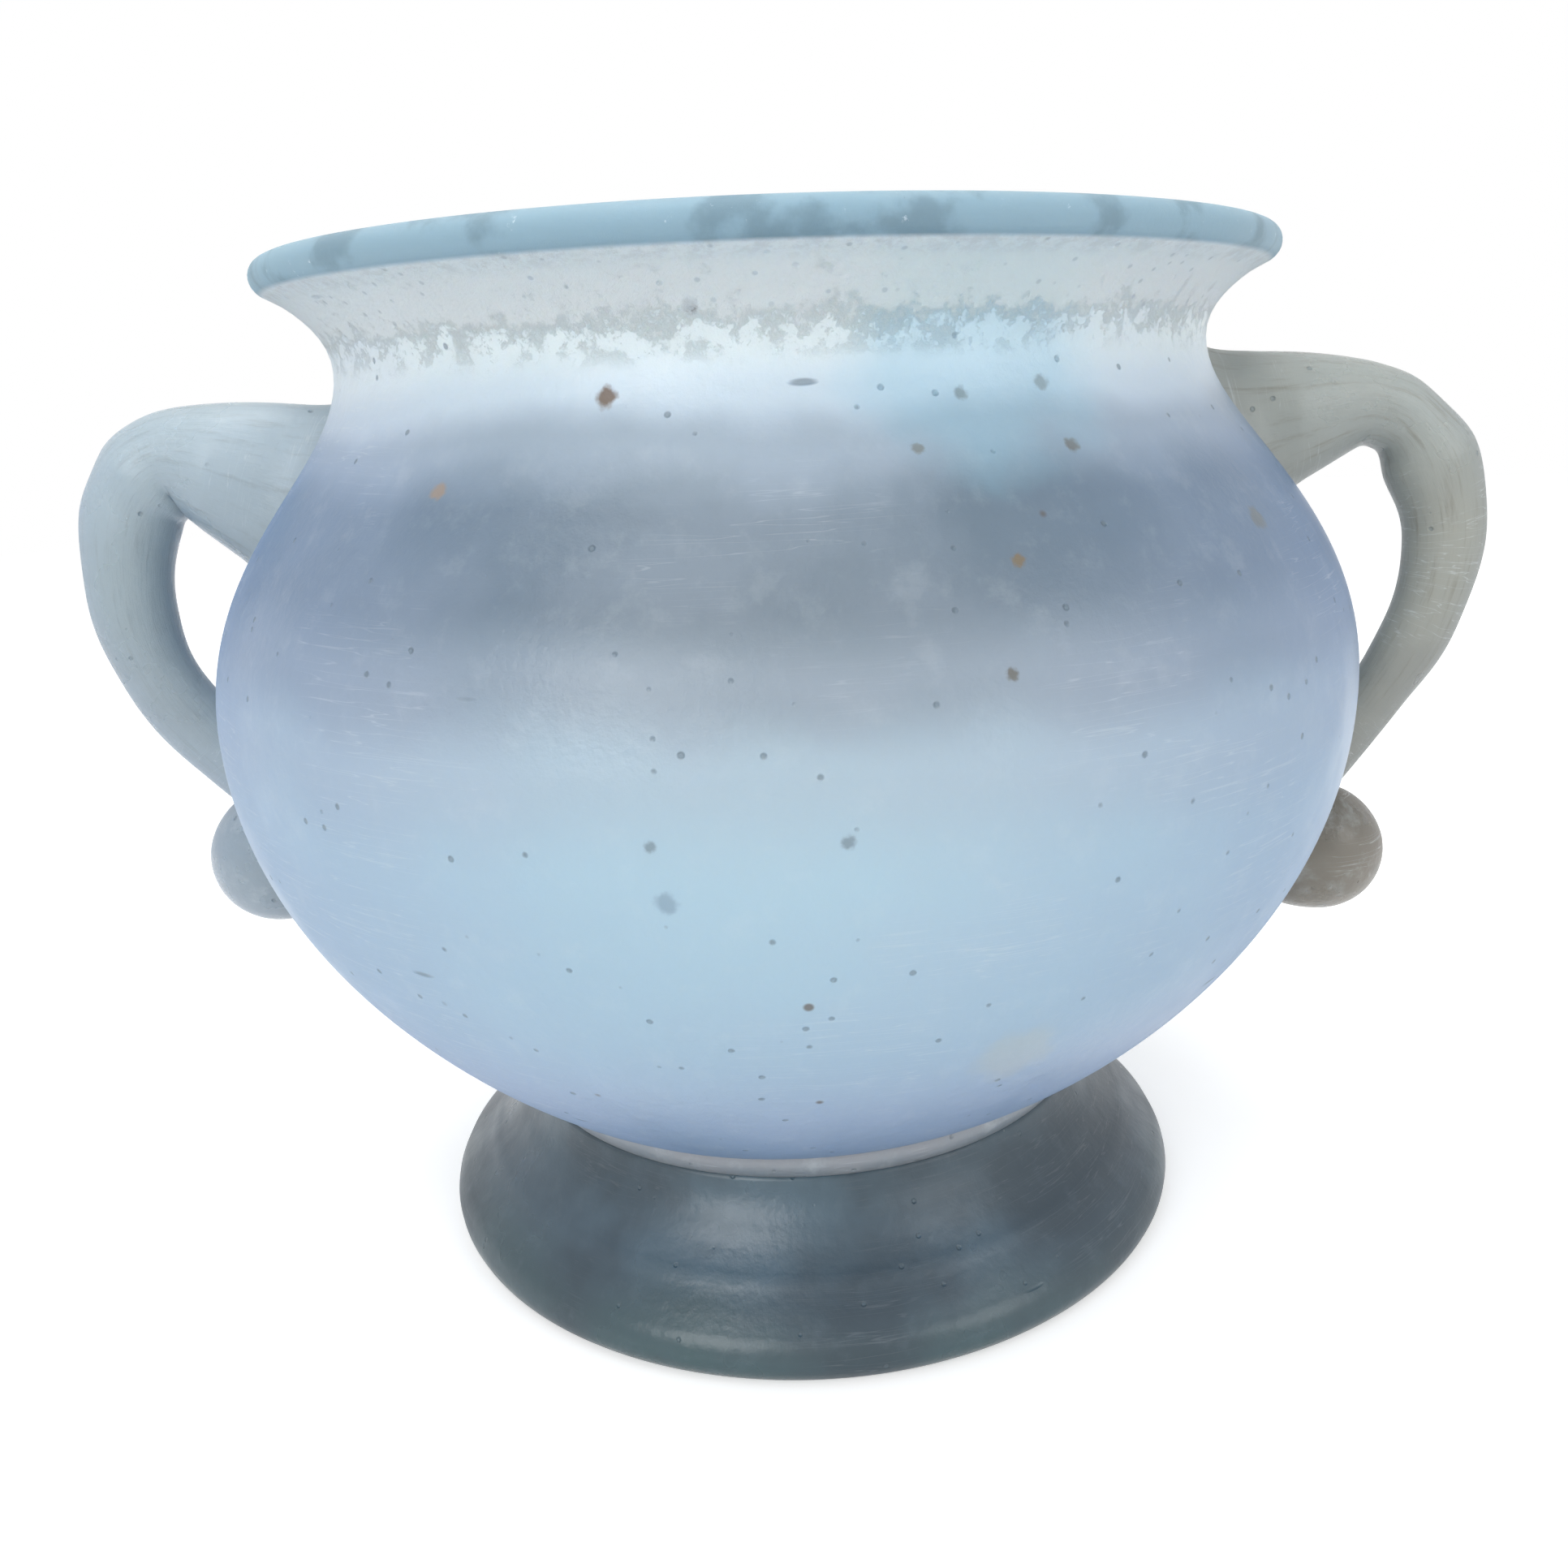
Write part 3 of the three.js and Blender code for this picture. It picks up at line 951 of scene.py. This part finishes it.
@dataclass
class Handle:
    """A drawn rod handle with its bead, on one side of the bowl.

    The rod's points are reach, height and half thickness, and all sizes are in mm. turn is in degrees
    about the Z axis, end_share is each cap's share of the rod, and inside_share is how much of a bend's
    radius the rod may fill.
    """

    name: str
    side: int
    turn: float
    rod: tuple[Triple, ...]
    bead: Bead
    rod_finish: GlassFinish
    bead_finish: GlassFinish
    depth_ratio: float = 0.86
    most_depth: float = 10.5
    steps: int = 170
    around: int = 60
    end_share: float = 0.025
    ripples: tuple[Triple, ...] = ((0.018, 41.0, 0.0), (0.012, 23.0, 2.0))
    inside_share: float = 0.85
    sunk: float = 1.4
    flare: float = 1.6
    flare_fade: float = 2.6

    def fused(self, points: Array, outward: Array, bowl: Bowl) -> Array:
        """Spread a surface where it meets the wall, and hold what is inside just under the wall's skin.

        A point d outside the wall moves outwards from its own middle by f·exp(−d/k). A point deeper than
        the skin moves out along its radius to the skin.

        Args:
            points: the surface's points in mm.
            outward: the direction in which each point spreads.
            bowl: the bowl that the surface is fused to.

        Returns:
            The moved points.
        """
        gap = distance_out(points) - bowl.wall_radius(points[..., 2])
        spread = self.flare * np.exp(-np.maximum(gap, 0) / self.flare_fade)
        points = points + outward * spread[..., None]
        skin = bowl.wall_radius(points[..., 2]) - self.sunk
        scale = np.maximum(1, skin / np.maximum(distance_out(points), 1e-6))
        return points * np.stack([scale, scale, np.ones_like(scale)], axis=-1)

    def placed(self, reach: Array, deep: Array, height: Array) -> Array:
        """Put a reach, a depth and a height on the handle's side, turned as the complex number x + yi."""
        flat = (self.side * reach + 1j * deep) * np.exp(1j * np.radians(self.turn))
        return np.stack([flat.real, flat.imag, height], axis=-1)

    def rod_points(self, bowl: Bowl) -> Array:
        """Carry a rounded section along the rod's curve, with a soft cap at each end.

        The section is c + n·h·cos a + y·g·sin a, n being the curve's normal in the upright plane, h the
        half thickness and g the half depth. The caps scale it by the square root of 1 − u², and faint
        ripples by 1 + r·sin(f·t + b). Inside a bend h is held to a share of the bend's radius, 1 over the
        turn of the tangent by length, so that the inside doesn't fold over itself.

        Args:
            bowl: the bowl that the rod is fused to.

        Returns:
            The grid of points in mm.
        """
        share = np.linspace(0, 1, self.steps)
        curve = rod_curve(np.array(self.rod), share)
        middle, half = curve[:, :2], curve[:, 2]
        slope = np.gradient(middle, axis=0)
        length = np.linalg.norm(slope, axis=1)
        tangent = slope / length[:, None]
        normal = np.stack([-tangent[:, 1], tangent[:, 0]], axis=1)
        end = np.minimum(1, np.minimum(share, 1 - share) / self.end_share)
        cap = np.sqrt(np.maximum(0, 1 - (1 - end) ** 2))
        cap[[0, -1]] = 0
        scale = cap * (1 + sum(size * np.sin(share * rate + start) for size, rate, start in self.ripples))
        deep = np.minimum(half * self.depth_ratio, self.most_depth) * scale
        angle = np.arange(self.around) * 2 * np.pi / self.around
        across = np.cos(angle) * (half * scale)[:, None]
        bend = (np.gradient(np.unwrap(np.arctan2(tangent[:, 1], tangent[:, 0]))) / length)[:, None]
        room = self.inside_share / np.maximum(np.abs(bend), 1e-4)
        across = np.where(across * bend > 0, np.clip(across, -room, room), across)
        points = self.placed(middle[:, :1] + normal[:, :1] * across, np.sin(angle) * deep[:, None],
                             middle[:, 1:] + normal[:, 1:] * across)
        outward = self.placed(normal[:, :1] * np.cos(angle), np.broadcast_to(np.sin(angle), across.shape),
                              normal[:, 1:] * np.cos(angle))
        return self.fused(points, outward * (cap > 0)[:, None, None], bowl)

    def bead_points(self, bowl: Bowl) -> Array:
        """Shape the bead as a ball whose inner half is stretched to the wall, with two soft dents.

        At a distance u from its middle, a dent takes away its depth times exp(−s·u²).

        Args:
            bowl: the bowl that the bead is fused to.

        Returns:
            The grid of points in mm.
        """
        polar = np.linspace(0, np.pi, self.bead.rings)[:, None]
        around = np.arange(self.bead.around) * 2 * np.pi / self.bead.around
        x, y = np.sin(polar) * np.cos(around), np.sin(polar) * np.sin(around)
        z = np.broadcast_to(np.cos(polar), x.shape)
        size = np.full_like(x, self.bead.radius)
        for axis, (depth, across, up, sharpness) in ((x, self.bead.side_dent), (y, self.bead.front_dent)):
            away = (axis - across) ** 2 + (z - up) ** 2
            size -= self.bead.radius * depth * np.exp(-away * sharpness)
        reach = self.bead.reach + x * np.where(x < 0, self.bead.stretch, 1) * size
        points = self.placed(reach, y * size, self.bead.height + z * size)
        return self.fused(points, self.placed(x * 0, y, z), bowl)

    def build(self, bowl: Bowl) -> None:
        """Make and dress the rod and its bead.

        Args:
            bowl: the bowl that they are fused to.
        """
        for part, points, finish in (("handle", self.rod_points(bowl), self.rod_finish),
                                     ("bead", self.bead_points(bowl), self.bead_finish)):
            node = f"{self.name}_{part}"
            make_piece(f"{node}_glass", points, Ends.POLES, node, finish.material())


# Rods and beads are glass drawn and dropped hot, so fine streaks run along the rods and both are
# glossier than the bowl.
HOT_GLASS = {"gloss": (0.25, 0.42)}
ROD_GLASS = {"cloud_size": 24.0, "streak_length": 6.0, "mottle_size": 2.6, "transmission": 0.3,
             "scatter": 0.55, **HOT_GLASS}
BEAD_GLASS = {"cloud_size": 14.0, "mottle_amount": 0.3, **HOT_GLASS}


def left_handle() -> Handle:
    """Give the left handle: cool grey-blue glass, thick in its arm.

    Returns:
        The handle with its bead.
    """
    # Painted highlight: the pale clouds, BFD0DA, take the colour of the highlight by the outer bend and lie
    # where a noise puts them.
    rod = GlassFinish(
        name="drawn_grey_blue_glass",
        tones=((85.0, "9DAAB6"), (105.0, "A2AFB6"), (135.0, "A9B8BD"), (155.0, "B6C6CD")), edge="8FA9C6",
        cloud="BFD0DA", mottle="8E9A9C", mottle_amount=0.45, **ROD_GLASS)
    bead = GlassFinish(
        name="dropped_grey_blue_glass", tones=((60.0, "A4B1B8"), (90.0, "93A3AE")), edge="8BA3BE",
        cloud="B3BFC4", transmission=0.3, **BEAD_GLASS)
    points = ((71.2, 143.0, 18.2), (88.9, 148.4, 17.8), (114.0, 156.2, 9.6), (119.9, 152.4, 9.6),
              (124.2, 145.3, 8.9), (126.7, 129.3, 8.0), (123.3, 114.1, 7.2), (112.7, 98.1, 6.6),
              (101.2, 85.3, 5.4))
    return Handle("left", -1, 2.0, points, Bead(106.1, 77.2, 13.9), rod, bead)


def right_handle() -> Handle:
    """Give the right handle: warmer, olive-grey glass with a brown bead.

    Returns:
        The handle with its bead.
    """
    rod = GlassFinish(
        name="drawn_olive_grey_glass",
        tones=((80.0, "8F908D"), (105.0, "9A9C97"), (135.0, "A8AAA2"), (155.0, "A9B0AD")), edge="8B98A0",
        cloud="B4B6AD", mottle="7E776A", mottle_amount=0.5, absorption="B5B9A8", **ROD_GLASS)
    bead = GlassFinish(
        name="dropped_brown_glass", tones=((56.0, "A39D90"), (66.0, "8B857A"), (80.0, "78746B")),
        edge="6E6C68", cloud="9A948A", transmission=0.25, absorption="A89C88", **BEAD_GLASS)
    points = ((70.0, 150.7, 15.5), (90.4, 152.8, 13.8), (111.1, 155.4, 7.8), (118.0, 152.6, 7.1),
              (123.8, 144.9, 8.3), (127.8, 131.2, 7.5), (125.2, 114.6, 6.6), (117.8, 100.5, 5.7),
              (102.6, 79.5, 5.4))
    return Handle("right", 1, -3.0, points, Bead(107.6, 67.9, 12.9, 1.35), rod, bead)


@dataclass(frozen=True)
class Lamp:
    """A round soft lamp: its place and size in mm, and its power in watts."""

    name: str
    place: Triple
    size: float
    power: float


@dataclass
class Studio:
    """The camera of the photograph, a white floor and soft lamps.

    The camera's place is in mm, and right, down and forward are its axes in the frame.
    """

    image_side: int = 1932
    focal_pixels: float = 1650.0
    sensor: float = 36.0
    nearest: float = 0.01
    farthest: float = 20.0
    place: Triple = (0.0, -266.03, 165.05)
    right: Triple = (0.99867136, -0.00909711, -0.05072243)
    down: Triple = (-0.05119568, -0.2873818, -0.95644692)
    forward: Triple = (-0.0058758, 0.95777291, -0.28746571)
    floor_radius: float = 1800.0
    floor_sides: int = 96
    floor_paint: str = "F2F2F2"
    floor_glow: float = 0.42
    lamps: tuple[Lamp, ...] = (
        Lamp("overhead", (-100.0, -50.0, 900.0), 700.0, 4.0),
        Lamp("front_left", (-500.0, -900.0, 650.0), 700.0, 4.5),
        Lamp("front_right", (700.0, -650.0, 500.0), 600.0, 2.0))
    aim_height: float = 90.0
    sky: float = 0.62

    def stand(self, name: str, data: Any, axes: Array, place: tuple[float, ...]) -> bpy.types.Object:
        """Put a camera or a lamp at a place.

        Args:
            name: the object's name.
            data: the camera or the lamp.
            axes: its own X, Y and Z, one a row.
            place: where it stands, in mm.

        Returns:
            The object.
        """
        thing = bpy.data.objects.new(name, data)
        bpy.context.scene.collection.objects.link(thing)
        matrix = np.eye(4)
        matrix[:3, :3] = np.array(axes).T
        matrix[:3, 3] = np.array(place) * MM
        thing.matrix_world = Matrix(matrix.tolist())
        return thing

    def camera(self) -> None:
        """Stand the camera where the photograph was taken from."""
        data = bpy.data.cameras.new("photograph_camera")
        data.sensor_width = self.sensor
        data.lens = self.sensor * self.focal_pixels / self.image_side
        data.clip_start, data.clip_end = self.nearest, self.farthest
        axes = np.array([self.right, -np.array(self.down), -np.array(self.forward)])
        bpy.context.scene.camera = self.stand("photograph_camera", data, axes, self.place)

    def seen_straight(self, tree: Tree) -> Socket:
        """Give 1 for rays from the camera, from gloss and through glass, and 0 for the light itself."""
        rays = add(tree, Kind.RAYS).node.outputs
        return add(tree, Kind.MAXIMUM, add(tree, Kind.MAXIMUM, rays["Is Camera Ray"], rays["Is Glossy Ray"]),
                   rays["Is Transmission Ray"])

    def world(self) -> None:
        """Make the sky: white where it is seen, and a plain soft light otherwise."""
        world = bpy.data.worlds.new("white_room")
        bpy.context.scene.world = world
        world.use_nodes = True
        tree = world.node_tree
        tree.nodes.clear()
        light = add(tree, Kind.SKY, WHITE, self.sky)
        white = add(tree, Kind.SKY, WHITE, 1.0)
        add(tree, Kind.WORLD, add(tree, Kind.EITHER, self.seen_straight(tree), light, white))

    def floor(self) -> None:
        """Lay a round board of matt white paint, which shows a little brighter than it lights."""
        angle = np.arange(self.floor_sides) * 2 * np.pi / self.floor_sides
        rim = np.stack([np.cos(angle), np.sin(angle), np.zeros(self.floor_sides)], axis=1)
        mesh = bpy.data.meshes.new("white_floor")
        mesh.from_pydata((rim * self.floor_radius * MM).tolist(), [], [list(range(self.floor_sides))])
        floor = bpy.data.objects.new("white_floor", mesh)
        bpy.context.scene.collection.objects.link(floor)
        material = bpy.data.materials.new("matt_white_board")
        material.use_nodes = True
        tree = material.node_tree
        tree.nodes.clear()
        paint = add(tree, Kind.PAINT, srgb(self.floor_paint))
        bright = add(tree, Kind.BOTH, paint, add(tree, Kind.GLOW, WHITE, self.floor_glow))
        add(tree, Kind.MATERIAL, add(tree, Kind.EITHER, self.seen_straight(tree), paint, bright))
        mesh.materials.append(material)

    def lights(self) -> None:
        """Hang the soft lamps, each turned to the middle of the vase."""
        for lamp in self.lamps:
            data = bpy.data.lights.new(lamp.name, "AREA")
            data.shape = "DISK"
            data.size = lamp.size * MM
            data.energy = lamp.power
            away = np.array(lamp.place) - np.array([0, 0, self.aim_height])
            away /= np.linalg.norm(away)
            side = np.cross([0.0, 1.0, 0.0], away)
            side /= np.linalg.norm(side)
            self.stand(lamp.name, data, np.array([side, np.cross(away, side), away]), lamp.place)

    def build(self) -> None:
        """Set the camera, the room and the lamps."""
        self.camera()
        self.world()
        self.floor()
        self.lights()
        bpy.context.scene.view_settings.view_transform = "Standard"


def main() -> None:
    """Build the room and the vase."""
    logging.basicConfig(level=logging.INFO)
    Studio().build()
    bowl = Bowl()
    bowl.build()
    for part in (Foot(), Collar(), left_handle(), right_handle()):
        part.build(bowl)


if __name__ == "__main__":
    main()
